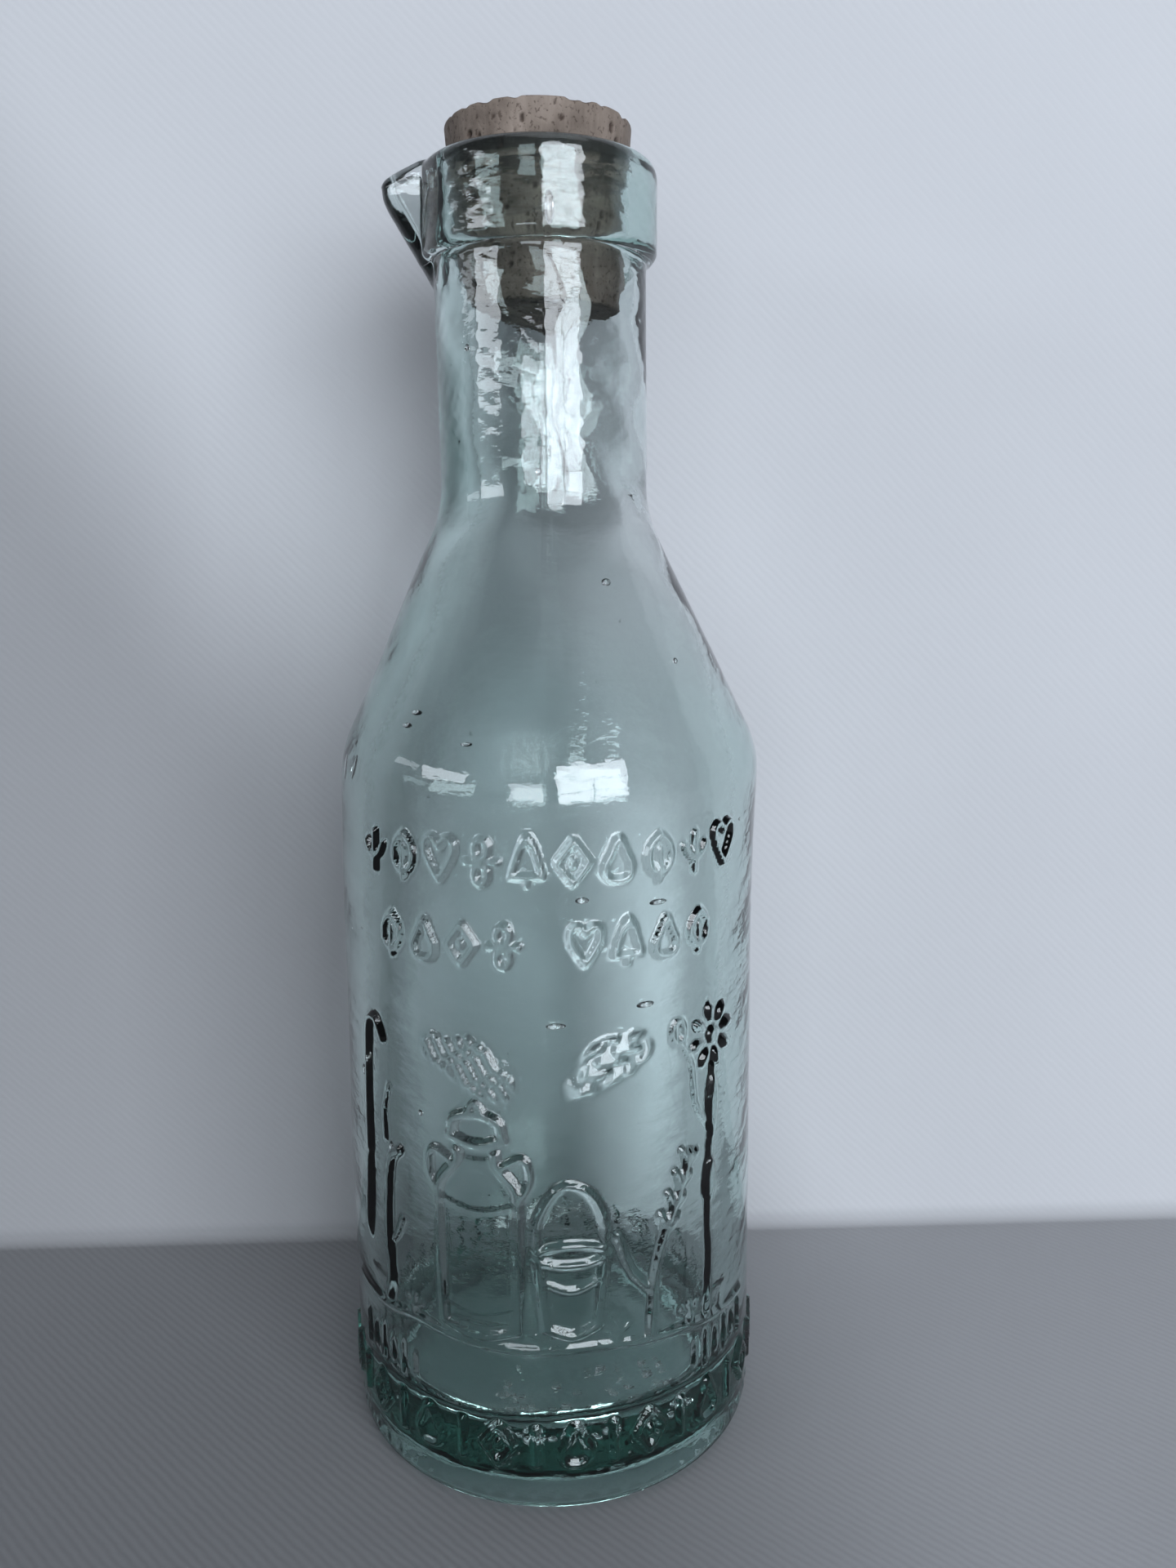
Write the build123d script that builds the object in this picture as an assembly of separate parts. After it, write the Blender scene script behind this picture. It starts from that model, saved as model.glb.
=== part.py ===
from build123d import *
from math import atan2, degrees
import os

# A cork-stoppered glass milk bottle with a moulded pouring beak, in millimetres.
#
# The frame: Z is the bottle's axis, upward, with Z = 0 at the foot it stands on. The beak points
# along -X, so the XZ plane is the bottle's plane of symmetry. Two pieces: the moulded glass
# bottle and the tapered cork that plugs its mouth.

# Glass, outside
BODY_R = 45.0  # straight body
HEEL_FILLET = 3.5  # round between the foot and the body
FOOT_EDGE_R = 45.2  # just under the raised band
BAND_R = 46.4  # crest of the raised band above the heel
BAND_Z = (9.0, 22.5)  # bottom and top of that band
BAND_SLOPE = 1.6  # height over which the band's edges fade into the body
SHOULDER_Z = 152.6  # where the straight body and the shoulder cone would meet
SHOULDER_FILLET = 24.0
NECK_R = 21.6
NECK_Z = 202.1  # where the shoulder cone and the neck would meet
NECK_FILLET = 24.0
COLLAR_R = 23.8
COLLAR_Z = 251.2  # underside of the collar
COLLAR_LOWER_FILLET = 2.0
RIM_Z = 269.6  # top of the glass
RIM_FILLET = 2.2

# Glass, inside
WALL = 5.0  # body wall
FLOOR_Z = 14.0  # top of the thick base
FLOOR_FILLET = 9.0
INNER_SHOULDER_Z = 150.2
INNER_SHOULDER_FILLET = 20.0
BORE_TOP_R = 17.9  # bore just under the mouth
BORE_TOP_Z = 262.6
BORE_LOW_R = 16.9  # bore where it starts to open into the shoulder
BORE_LOW_Z = 205.0
BORE_FLARE_FILLET = 34.0
FOOT_IN_R = 39.8  # inner edge of the narrow ring it stands on
PUSH_UP_R = 35.2  # the hollow under the base, inside that ring
PUSH_UP = 4.4

# Cork, an even taper that seats in the mouth
CORK_TOP_R = 18.8
CORK_TOP_Z = 277.0
CORK_BOTTOM_R = 15.9
CORK_BOTTOM_Z = 241.5
CORK_EDGE = 0.4
CORK_TAPER = (CORK_TOP_R - CORK_BOTTOM_R) / (CORK_TOP_Z - CORK_BOTTOM_Z)
CORK_CLEARANCE = 0.08  # radial gap between the cork and the mouth at the rim
MOUTH_R = CORK_TOP_R - CORK_TAPER * (CORK_TOP_Z - RIM_Z) + CORK_CLEARANCE

# Pouring beak: each level's plan is the hull of a root circle on the axis and a small nose circle
ROOT_R = 15.8  # its flanks are tangent to this circle, so they meet the collar in a crease
NOSE_R = 4.2
TIP_R = 31.7  # reach of the upper, upright part of the nose
LIP_Z = 266.8  # height of the beak's top at its tip
KEEL_TOP_Z = 263.3  # the keel slants from here
KEEL_LOW = (21.4, 246.2)  # to here, as (reach, z), just under the neck's surface
TROUGH_ROOT_R = 13.4
TROUGH_NOSE_R = 1.9
TROUGH_TIP_R = 28.8
TROUGH_LOW = (17.3, 246.4)  # where the trough's floor runs out into the bore

PROUD = 5.0  # how far a cutting solid runs past what it cuts


def turned(outline, fillets):
    """The solid of revolution of an outline given as (radius, z) points from axis to axis."""
    side = FilletPolyline(*outline, radius=fillets)
    face = make_face([side, Line(side @ 1, side @ 0)])
    return revolve(Plane.XZ * face, axis=Axis.Z)


def glass_outside():
    """The outer form of the glass without the beak, as one solid."""
    low, high = BAND_Z
    outline = [(0, 0), (FOOT_EDGE_R, 0), (FOOT_EDGE_R, low), (BAND_R, low + BAND_SLOPE)]
    outline += [(BAND_R, high - BAND_SLOPE), (BODY_R, high), (BODY_R, SHOULDER_Z)]
    outline += [(NECK_R, NECK_Z), (NECK_R, COLLAR_Z), (COLLAR_R, COLLAR_Z)]
    outline += [(COLLAR_R, RIM_Z), (0, RIM_Z)]
    fillets = [HEEL_FILLET, 0.5, 1.5, 1.5, 1.0, SHOULDER_FILLET]
    fillets += [NECK_FILLET, 0, COLLAR_LOWER_FILLET, RIM_FILLET]
    return turned(outline, fillets)


def milk_space():
    """The hollow of the bottle: floor, body, shoulder, neck bore and mouth."""
    inner_r = BODY_R - WALL
    outline = [(0, FLOOR_Z), (inner_r, FLOOR_Z), (inner_r, INNER_SHOULDER_Z)]
    outline += [(BORE_LOW_R, BORE_LOW_Z), (BORE_TOP_R, BORE_TOP_Z), (MOUTH_R, RIM_Z)]
    outline += [(MOUTH_R, RIM_Z + PROUD), (0, RIM_Z + PROUD)]
    fillets = [FLOOR_FILLET, INNER_SHOULDER_FILLET, BORE_FLARE_FILLET, 0, 0, 0]
    return turned(outline, fillets)


def beak_plan(root_r, nose_r, reach, z):
    """One level of the beak: the hull of the root circle and the nose circle, as a face."""
    circles = [CenterArc((0, 0), root_r, 0, 360), CenterArc((nose_r - reach, 0), nose_r, 0, 360)]
    return Pos(0, 0, z) * make_hull(circles)


def beak_form(root_r, nose_r, tip_r, low, top_z):
    """A beak-shaped solid: it widens along the keel, then stands upright to top_z."""
    low_reach, low_z = low
    low_plan = beak_plan(root_r, nose_r, low_reach, low_z)
    high_plan = beak_plan(root_r, nose_r, tip_r, KEEL_TOP_Z)
    slanting = loft([low_plan, high_plan], ruled=True)
    return slanting + extrude(high_plan, top_z - KEEL_TOP_Z, dir=(0, 0, 1))


def under_lip():
    """All the space below the beak's top, which falls from the rim to the lip."""
    fall = degrees(atan2(RIM_Z - LIP_Z, TIP_R - NECK_R))
    top = Plane(origin=(-NECK_R, 0, RIM_Z)) * Rot(Y=-fall)
    size = 4 * BODY_R
    box = Box(size, size, size, align=(Align.CENTER, Align.CENTER, Align.MAX))
    return top * box


def beak_outside():
    """The solid beak, cut by its falling top."""
    return beak_form(ROOT_R, NOSE_R, TIP_R, KEEL_LOW, RIM_Z) & under_lip()


def beak_trough():
    """The trough in the beak, open upward and into the mouth."""
    return beak_form(TROUGH_ROOT_R, TROUGH_NOSE_R, TROUGH_TIP_R, TROUGH_LOW, RIM_Z + PROUD)


def push_up():
    """The hollow under the base, which leaves the foot as a narrow ring."""
    outline = [(0, -PROUD), (FOOT_IN_R, -PROUD), (FOOT_IN_R, 0)]
    outline += [(PUSH_UP_R, PUSH_UP), (0, PUSH_UP)]
    return turned(outline, [0, 0.8, 2.0])


def make_bottle():
    """The whole glass piece."""
    return glass_outside() + beak_outside() - milk_space() - beak_trough() - push_up()


def make_cork():
    """The tapered cork, seated."""
    outline = [(0, CORK_BOTTOM_Z), (CORK_BOTTOM_R, CORK_BOTTOM_Z)]
    outline += [(CORK_TOP_R, CORK_TOP_Z), (0, CORK_TOP_Z)]
    return turned(outline, [CORK_EDGE, CORK_EDGE])


def main():
    """Write one STEP file per piece."""
    os.makedirs("parts", exist_ok=True)
    pieces = {"bottle": make_bottle(), "cork_stopper": make_cork()}
    for name, piece in pieces.items():
        export_step(piece, f"parts/{name}.step")
        print(name, round(piece.volume / 1000, 1), "cm3")


main()
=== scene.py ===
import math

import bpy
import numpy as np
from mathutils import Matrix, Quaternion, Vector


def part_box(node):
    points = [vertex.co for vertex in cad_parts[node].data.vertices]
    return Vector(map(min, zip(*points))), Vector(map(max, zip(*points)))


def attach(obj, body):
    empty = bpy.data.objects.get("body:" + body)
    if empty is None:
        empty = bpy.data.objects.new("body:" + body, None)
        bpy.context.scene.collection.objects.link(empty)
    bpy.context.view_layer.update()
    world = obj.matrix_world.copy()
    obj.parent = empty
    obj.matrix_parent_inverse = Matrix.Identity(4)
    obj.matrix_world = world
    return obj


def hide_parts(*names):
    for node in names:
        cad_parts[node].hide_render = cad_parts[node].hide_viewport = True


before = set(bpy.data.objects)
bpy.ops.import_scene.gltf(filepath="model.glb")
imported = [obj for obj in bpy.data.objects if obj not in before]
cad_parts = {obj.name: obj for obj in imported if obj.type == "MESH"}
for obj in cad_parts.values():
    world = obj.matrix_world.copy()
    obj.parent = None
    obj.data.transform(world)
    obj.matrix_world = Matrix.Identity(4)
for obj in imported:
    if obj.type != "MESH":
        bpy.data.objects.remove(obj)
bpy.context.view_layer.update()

# The looks of a corked milk bottle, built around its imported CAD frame.
#
# Shapes are worked out in millimetres, in the bottle's own frame, and become metres when a mesh is
# made. An azimuth is measured round the bottle's axis in degrees, from the front (-Y) towards +X. A
# place on the bottle's side is (across, up): across is the arc length from the front centre line on
# the body, positive towards +X, and up is the height above the foot.

MM = 0.001
bottle_box = [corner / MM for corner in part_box("bottle")]
cork_box = [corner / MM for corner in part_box("cork_stopper")]

# Glass, outside
BAND_R = bottle_box[1].x  # widest radius, the crest of the heel band
BODY_R = BAND_R - 1.4
SKIRT_R = BODY_R + 0.35  # the body is slightly wider below its middle
RIM_Z = bottle_box[1].z
SHOULDER_Z = 152.6
NECK_R = 21.6
NECK_Z = 202.1
COLLAR_R = 23.8
COLLAR_Z = 251.4
RIM_ROUND = 2.4
LIP_ROUND = 1.1  # the rim's inner edge
PUSH_UP = 4.4  # the base is hollowed inside a narrow ring foot
FOOT_IN_R = 39.8
PUSH_UP_R = 35.2

# Glass, inside
INNER_R = BODY_R - 5.0
FLOOR_Z = 14.0
INNER_SHOULDER_Z = 150.2
BORE_LOW_R = 16.9
BORE_LOW_Z = 205.0
BORE_TOP_R = 17.9
BORE_TOP_Z = 262.6

# Cork
CORK_TOP_R = 18.75
CORK_BOTTOM_R = 15.85
CORK_TOP_Z = cork_box[1].z
CORK_BOTTOM_Z = cork_box[0].z
CORK_TAPER = (CORK_TOP_R - CORK_BOTTOM_R) / (CORK_TOP_Z - CORK_BOTTOM_Z)
MOUTH_R = CORK_TOP_R - CORK_TAPER * (CORK_TOP_Z - RIM_Z) + 0.12

# Beak, which points along -X; each level's plan is the hull of a root circle and a nose circle
BEAK_AZ = -90.0
ROOT_R = 15.8
NOSE_R = 4.2
TIP_R = 31.7
KEEL_TOP_Z = 263.3  # the keel slants inward below this
KEEL_SLOPE = 0.6  # the keel's run for each unit of height
TROUGH_ROOT_R = 13.4
TROUGH_NOSE_R = 1.9
LIP_WALL = 2.9  # glass in front of the trough at the top
KEEL_WALL = 4.1  # and along the keel
LIP_FALL = 0.34  # how fast the beak's top falls beyond the collar
BEAK_LOW_Z = 243.5  # below this the beak has died into the neck
TROUGH_LOW_Z = 240.0  # and below this its trough has

# Raised motifs
STROKE_H = 0.95
STROKE_W = 1.25  # half of a stroke's width at its foot
STROKE_SOFT = 0.75  # width of a stroke's sloping flank
LEDGE_FRONT = 0.14  # share of a cloud ledge that is its steep front
BILLOW_RIM = 1.6  # width over which a cloud rises at its edge
FLAKE_LONG = 3.6  # how long a cloud's ledges run before they break
SPAN_STEPS = 6  # steps between two of a curve's points

rng = np.random.default_rng(11)


# ---- small maths


def smooth(t):
    """A smooth step from 0 to 1 as t goes from 0 to 1."""
    t = np.clip(t, 0.0, 1.0)
    return t * t * (3.0 - 2.0 * t)


def soft_max(a, b, blend):
    """The larger of a and b, rounded over by blend where they cross."""
    return 0.5 * (a + b + np.sqrt((a - b) ** 2 + blend**2))


def soft_min(a, b, blend):
    """The smaller of a and b, rounded over by blend where they cross."""
    return -soft_max(-a, -b, blend)


def unit(vector):
    """The vector's direction."""
    return vector / np.linalg.norm(vector)


def ripple_field(seed, turns, pitches, count):
    """A smooth random function of (azimuth, height), periodic round the bottle, about -1 to 1."""
    random = np.random.default_rng(seed)
    waves = []
    for _ in range(count):
        turn = int(random.integers(turns[0], turns[1] + 1))
        pitch = random.uniform(*pitches) * random.choice((-1, 1))
        waves.append((turn, 2 * math.pi / pitch, random.uniform(0, 2 * math.pi)))

    def height(azimuth, up):
        angle = np.radians(azimuth)
        total = sum(np.cos(n * angle + k * up + phase) for n, k, phase in waves)
        return total / math.sqrt(len(waves))

    return height


def trace(corners):
    """Rows along an outline with rounded corners.

    A corner is (radius, height, fillet, row step, ring name); the step and ring hold from that
    corner to the next. Each row is (radius, height, ring name).
    """
    points = [np.array(corner[:2], float) for corner in corners]
    trims = [0.0] * len(points)
    for i in range(1, len(points) - 1):
        cosine = unit(points[i - 1] - points[i]) @ unit(points[i + 1] - points[i])
        turn = math.pi - math.acos(np.clip(cosine, -1, 1))
        trims[i] = corners[i][2] * math.tan(turn / 2)
    rows = []
    for i in range(len(points) - 1):
        run = unit(points[i + 1] - points[i])
        start = points[i] + run * trims[i]
        stop = points[i + 1] - run * trims[i + 1]
        step, ring = corners[i][3:]
        count = max(1, round(np.linalg.norm(stop - start) / step))
        rows += [(*(start + (stop - start) * k / count), ring) for k in range(count)]
        if trims[i + 1] > 0:
            end = points[i + 1] + unit(points[i + 2] - points[i + 1]) * trims[i + 1]
            rows += [(*point, ring) for point in bend(stop, points[i + 1], end, step)]
    rows.append((*points[-1], corners[-2][4]))
    return rows


def bend(start, corner, end, step):
    """Points along a tangent arc that rounds a corner, from start up to but not at end."""
    chord = np.linalg.norm(end - start)
    leg = np.linalg.norm(corner - start)
    half_turn = math.acos(np.clip(chord / (2 * leg), -1, 1))
    radius = chord / (2 * math.sin(half_turn))
    middle = (start + end) / 2
    centre = middle + unit(middle - corner) * radius * math.cos(half_turn)
    count = max(3, math.ceil(2 * half_turn * radius / step))
    from_centre = start - centre
    side = np.array([-from_centre[1], from_centre[0]])
    if side @ (corner - start) < 0:
        side = -side
    turns = [2 * half_turn * k / count for k in range(count)]
    return [centre + from_centre * math.cos(t) + side * math.sin(t) for t in turns]


# ---- ring meshes


def glass_axes(azimuth):
    """Unit vectors round, up and out of the bottle at an azimuth."""
    angle = math.radians(azimuth)
    out = np.array([math.sin(angle), -math.cos(angle), 0.0])
    return np.array([-out[1], out[0], 0.0]), np.array([0.0, 0.0, 1.0]), out


def even_ring(count):
    """Azimuths spread evenly round the bottle."""
    return np.linspace(-180, 180, count, endpoint=False)


def fine_ring(middle, half_width, fine, coarse, radius):
    """Azimuths that are fine (mm apart) within half_width degrees of middle, and coarse elsewhere."""
    scan = np.linspace(-180, 180, 7201)
    away = np.abs((scan - middle + 180) % 360 - 180)
    gap = fine + (coarse - fine) * smooth((away - half_width) / 30)
    density = np.cumsum(np.radians(0.05) * radius / gap)
    count = round(density[-1])
    return np.interp(np.arange(count) * density[-1] / count, density, scan)


RINGS = {
    "base": even_ring(112),
    "heel": even_ring(440),
    "front": fine_ring(0, 62, 0.56, 1.7, BODY_R),
    "shoulder": even_ring(200),
    "beak": fine_ring(BEAK_AZ, 45, 0.4, 1.1, COLLAR_R),
    "inner": even_ring(128),
    "cork": even_ring(288),
}


def new_object(name, data):
    """A new object in the scene."""
    thing = bpy.data.objects.new(name, data)
    bpy.context.scene.collection.objects.link(thing)
    return thing


class Shell:
    """A closed mesh built from rings of points, each joined to the one before."""

    def __init__(self):
        self.points = []
        self.faces = []
        self.count = 0
        self.last = None

    def add_loop(self, azimuths, points):
        """Adds a ring of points, or a pole, which has no azimuths, and joins it to the last."""
        if self.last is not None:
            self.join(*self.last, azimuths, self.count)
        self.last = (azimuths, self.count)
        self.points.append(points)
        self.count += len(points)

    def add_ring(self, azimuths, radius, height, shift=0.0):
        """Adds a ring of points round the bottle."""
        angle = np.radians(azimuths)
        across = radius * np.sin(angle) + shift
        points = np.column_stack([across, -radius * np.cos(angle), height + 0 * angle])
        self.add_loop(azimuths, points)

    def add_pole(self, height, shift=0.0):
        """Adds a point on the axis, which opens or closes the mesh."""
        self.add_loop(np.array([]), np.array([[shift, 0.0, height]]))

    def join(self, low, low_first, high, high_first):
        """Faces between two rings, or a ring and a pole."""
        if len(low) == len(high) and np.allclose(low, high):
            count = len(low)
            here = np.arange(count)
            after = (here + 1) % count
            quads = [low_first + here, low_first + after, high_first + after, high_first + here]
            self.faces += [tuple(q) for q in np.column_stack(quads).tolist()]
            return
        i = j = 0
        low_count, high_count = max(1, len(low)), max(1, len(high))
        low_next = np.append(low[1:], low[:1] + 360)
        high_next = np.append(high[1:], high[:1] + 360)
        while i < len(low) or j < len(high):
            a, b = low_first + i % low_count, high_first + j % high_count
            if j >= len(high) or (i < len(low) and low_next[i] <= high_next[j]):
                i += 1
                self.faces.append((a, low_first + i % low_count, b))
            else:
                j += 1
                self.faces.append((a, high_first + j % high_count, b))

    def add_bubble(self, place, radii, turns, levels):
        """Adds an ellipsoid whose faces point inward, an air bubble in the solid.

        Its place is (azimuth, distance from the axis, height, sideways shift), and its radii are
        round the bottle, through the glass and up.
        """
        azimuth, away, up, shift = place
        around, upward, outward = glass_axes(azimuth)
        centre = outward * away + upward * up + (shift, 0, 0)
        circle = 2 * math.pi * np.arange(turns) / turns
        self.last = None
        for level in range(levels + 1):
            polar = math.pi * level / levels
            at_pole = level in (0, levels)
            spin = circle[:1] if at_pole else circle
            ring = math.sin(polar) * np.array([np.cos(spin), np.sin(spin)])
            sphere = np.column_stack([*ring, math.cos(polar) + 0 * spin])
            points = centre + sphere * radii @ np.array([around, outward, upward])
            self.add_loop(spin[:0] if at_pole else spin, points)

    def build(self, name):
        """The Blender object, smooth shaded, in metres."""
        mesh = bpy.data.meshes.new(name)
        mesh.from_pydata((np.vstack(self.points) * MM).tolist(), [], self.faces)
        mesh.validate()
        mesh.shade_smooth()
        return new_object(name, mesh)


# ---- raised motifs


def curve(points, closed=False):
    """A smooth line through a few points, as an array of closer ones."""
    points = np.array(points, float)
    if closed:
        padded = np.vstack([points[-1], points, points[:2]])
    else:
        first = 2 * points[0] - points[1]
        last = 2 * points[-1] - points[-2]
        padded = np.vstack([first, points, last])
    out = []
    for k in range(len(padded) - 3):
        a, b, c, d = padded[k : k + 4]
        for t in np.arange(SPAN_STEPS) / SPAN_STEPS:
            linear = (c - a) * t
            square = (2 * a - 5 * b + 4 * c - d) * t**2
            cube = (3 * b - 3 * c + d - a) * t**3
            out.append(0.5 * (2 * b + linear + square + cube))
    out.append(padded[-2])
    return np.array(out)


def oval(centre, half_width, half_height, count=20):
    """A closed oval line."""
    turn = np.linspace(0, 2 * math.pi, count + 1)
    across = centre[0] + half_width * np.cos(turn)
    return np.column_stack([across, centre[1] + half_height * np.sin(turn)])


def turned(points, degrees):
    """The same points turned anticlockwise about the motif's centre."""
    cosine, sine = math.cos(math.radians(degrees)), math.sin(math.radians(degrees))
    return points @ np.array([[cosine, sine], [-sine, cosine]])


def mirrored(points):
    """The same points on the other side of the motif's centre line."""
    return [(-x, y) for x, y in points]


class Relief:
    """Heights above the plain glass at many places on the bottle's side."""

    def __init__(self, across, up):
        self.across = across
        self.up = up
        self.height = np.zeros_like(across)

    def near(self, line, margin):
        """The places in the box round a line, with a margin."""
        low = line.min(0) - margin
        high = line.max(0) + margin
        inside = (self.across > low[0]) & (self.across < high[0])
        return np.nonzero(inside & (self.up > low[1]) & (self.up < high[1]))[0]

    def distance(self, where, line):
        """Each place's distance to a line of points."""
        best = np.full(len(where), 1e9)
        x, y = self.across[where], self.up[where]
        for (ax, ay), (bx, by) in zip(line[:-1], line[1:]):
            run_x, run_y = bx - ax, by - ay
            length = run_x**2 + run_y**2 + 1e-12
            t = np.clip(((x - ax) * run_x + (y - ay) * run_y) / length, 0, 1)
            best = np.minimum(best, np.hypot(x - ax - t * run_x, y - ay - t * run_y))
        return best

    def lift(self, where, height):
        """Raises places to a height, unless they are higher already."""
        self.height[where] = np.maximum(self.height[where], height)

    def fill(self, points, slope):
        """The places round a closed line, and their share of its height; its flank is slope wide."""
        line = np.vstack([points, points[:1]])
        where = self.near(line, 0.1)
        return where, smooth(self.distance(where, line) / slope) * self.inside(where, line)

    def stroke(self, points, half_width=STROKE_W, height=STROKE_H, soft=STROKE_SOFT):
        """Raises a round-ended ridge along a line."""
        line = np.array(points, float)
        where = self.near(line, half_width)
        self.lift(where, height * smooth((half_width - self.distance(where, line)) / soft))

    def billows(self, points, height, pitch, lean):
        """Fills a closed line with broken ledges that lean back, like heaped cloud."""
        where, share = self.fill(points, BILLOW_RIM)
        x, y = self.across[where], self.up[where]
        wander = 0.5 * np.sin(0.4 * x + 0.3 * y) + 0.15 * np.sin(1.1 * x - 0.4 * y) + 0.12 * np.sin(y)
        along = (x + lean * y) / math.hypot(1, lean)
        column = np.floor(along / FLAKE_LONG + 0.35 * np.sin(0.9 * y - 0.5 * x))
        phase = ((points[:, 1].max() - y + lean * x + wander) / pitch + 0.38 * column) % 1.0
        ledge = np.minimum(phase / (1 - LEDGE_FRONT), (1 - phase) / LEDGE_FRONT)
        self.lift(where, height * share * ledge)

    def inside(self, where, line):
        """Whether each place lies inside a closed line."""
        x, y = self.across[where], self.up[where]
        inside = np.zeros(len(where), bool)
        for (ax, ay), (bx, by) in zip(line[:-1], line[1:]):
            if ay != by:
                crosses = (ay > y) != (by > y)
                inside ^= crosses & (x < (bx - ax) * (y - ay) / (by - ay) + ax)
        return inside

    def shape(self, points, height, slope):
        """Raises the inside of a closed line, with a flank that is slope wide."""
        where, share = self.fill(points, slope)
        self.lift(where, height * share)


# Each ornament is a list of lines about its own centre, about 6 mm wide and 9 mm tall
HEART_SIDE = [(0, 2.4), (1.4, 4.1), (3.0, 3.2), (2.8, 0.8), (1.4, -1.8), (0, -4.0)]
LEAF_SIDE = [(0, 4.2), (1.9, 2.2), (2.5, -0.4), (1.6, -2.6), (0, -3.6)]
DROP = [(0, 4.2), (1.4, 1.4), (2.6, -1.2), (1.7, -3.6), (-1.7, -3.6), (-2.6, -1.2), (-1.4, 1.4)]
BELL = [(-1.0, 3.6), (-1.8, 1.4), (-3.0, -2.6), (3.0, -2.6), (1.8, 1.4), (1.0, 3.6), (-1.0, 3.6)]
SPRIG_SIDE = [(0, -1.8), (1.6, -0.8), (2.8, 1.2)]
ORNAMENTS = {
    "lozenge": [[(0, 4.2), (3.0, 0), (0, -4.2), (-3.0, 0), (0, 4.2)], [(0, 0.6), (0, -0.6)]],
    "heart": [curve(HEART_SIDE), curve(mirrored(HEART_SIDE))],
    "leaf": [curve(LEAF_SIDE), curve(mirrored(LEAF_SIDE)), [(0, 1.4), (0, -4.6)]],
    "drop": [curve(DROP, closed=True)],
    "bell": [BELL, [(0, -3.6), (0, -4.2)], curve([(-0.9, 3.8), (0, 5.0), (0.9, 3.8)])],
    "sprig": [[(0, -4.2), (0, 3.4)], curve(SPRIG_SIDE), curve(mirrored(SPRIG_SIDE))],
    "bar": [[(0, 3.8), (0, -3.8)]],
    "petals": [oval((0, 2.4), 1.3, 1.9, 12), oval((0, -2.4), 1.3, 1.9, 12)]
    + [[(1.7, 0), (3.1, 0)], [(-3.1, 0), (-1.7, 0)]],
}
UPPER_ROW = "sprig leaf heart petals bell lozenge drop leaf sprig heart".split()
LOWER_ROW = "leaf drop lozenge petals heart bell drop leaf".split()
HEEL_CYCLE = ["lozenge", "bar", "drop", "bar"]
DEGREE = math.radians(1) * BODY_R  # arc length of one degree on the body


def place_ornament(relief, name, azimuth, up, scale=1.0, height=STROKE_H, width=0.9):
    """Raises one ornament with its centre at (azimuth, up)."""
    centre = np.array([azimuth * DEGREE, up])
    for line in ORNAMENTS[name]:
        relief.stroke(np.array(line) * scale + centre, width, height, 0.55)


def raise_ornament_rows(relief):
    """The two rows of ornaments under the shoulder."""
    for k, name in enumerate(UPPER_ROW):
        place_ornament(relief, name, -49.5 + 10.95 * k, 137.0)
    for k, name in enumerate(LOWER_ROW):
        group_start = -43.0 if k < 4 else 8.5
        place_ornament(relief, name, group_start + 10.6 * (k % 4), 120.8, 0.94)


def raise_heel(relief):
    """The ring of ornaments round the heel, the beads under it and the bars above it."""
    count = 36
    for k in range(count):
        azimuth = -180 + 360 * (k + 0.5) / count
        name = HEEL_CYCLE[k % len(HEEL_CYCLE)]
        place_ornament(relief, name, azimuth, 16.0, 1.08, 0.95, 0.95)
    for k in range(60):
        azimuth = -180 + 6.0 * k
        relief.stroke([(azimuth * DEGREE, 4.6), (azimuth * DEGREE, 5.6)], 0.8, 0.25, 0.8)
    for side in (-1, 1):
        for k in range(6):
            azimuth = side * (40 + 4.4 * k)
            tall = 3.6 if k % 2 else 2.2
            line = [(azimuth * DEGREE, 28.4 - tall), (azimuth * DEGREE, 28.4 + tall)]
            relief.stroke(line, 0.85, 0.7)


GROUND = [(-52, 39.6), (-40, 38.6), (-30, 39.8), (-18, 38.2), (-4, 37.4), (8, 37.8)]
GROUND += [(18, 37.0), (28, 36.2), (38, 34.6), (50, 34.0)]


def raise_ground(relief):
    """The rolling ground line and its tufts of grass."""
    relief.stroke(curve(GROUND), 1.5, 0.6, 1.3)
    for across, up, lean in ((-31, 40, 0.6), (-2, 38, -0.5), (12.5, 38, 0.4), (30, 37, -0.4)):
        for blade in (-1, 0, 1):
            tip = (across + 2.2 * blade + lean, up + 4.2 - abs(blade))
            relief.stroke(curve([(across, up), (across + 0.8 * blade, up + 2), tip]), 0.7, 0.6)


def raise_reeds(relief):
    """The tall bent reed at the left and the short one beside it."""
    tall = [(-38.2, 97.6), (-40.6, 101.2), (-43.4, 99.6), (-43.9, 90), (-44.2, 72)]
    relief.stroke(curve(tall), 1.2, 0.95)
    blade = [(-44.2, 76), (-43.2, 68), (-43.6, 58), (-45.4, 50), (-47.0, 56), (-46.2, 66)]
    relief.shape(curve(blade, closed=True), 1.0, 1.3)
    short = [(-33.6, 75), (-36.4, 72), (-37.6, 64), (-37.8, 54), (-37.2, 46), (-38.4, 41)]
    relief.stroke(curve(short), 1.35, 0.95)
    for points in ([(-36.6, 88), (-38.2, 82), (-38.0, 76)], [(-33.4, 60), (-35.2, 56), (-37, 54)]):
        relief.stroke(curve(points), 0.8, 0.6)


def raise_cloud(relief, across, up, size, tilt, pitch, lean):
    """A low billowing cloud, whose ledges catch the light."""
    outline = [(-10, -4.8), (-12.5, -1), (-10.5, 2.2), (-7, 3), (-4.5, 5.6), (0, 6.4)]
    outline += [(4, 4.8), (7.4, 4), (10, 0.6), (9.2, -3.8), (3, -5.8), (-3, -5.2)]
    line = turned(curve(outline, closed=True) * size, tilt)
    relief.billows(line + (across, up), 1.25, pitch, lean)


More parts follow.
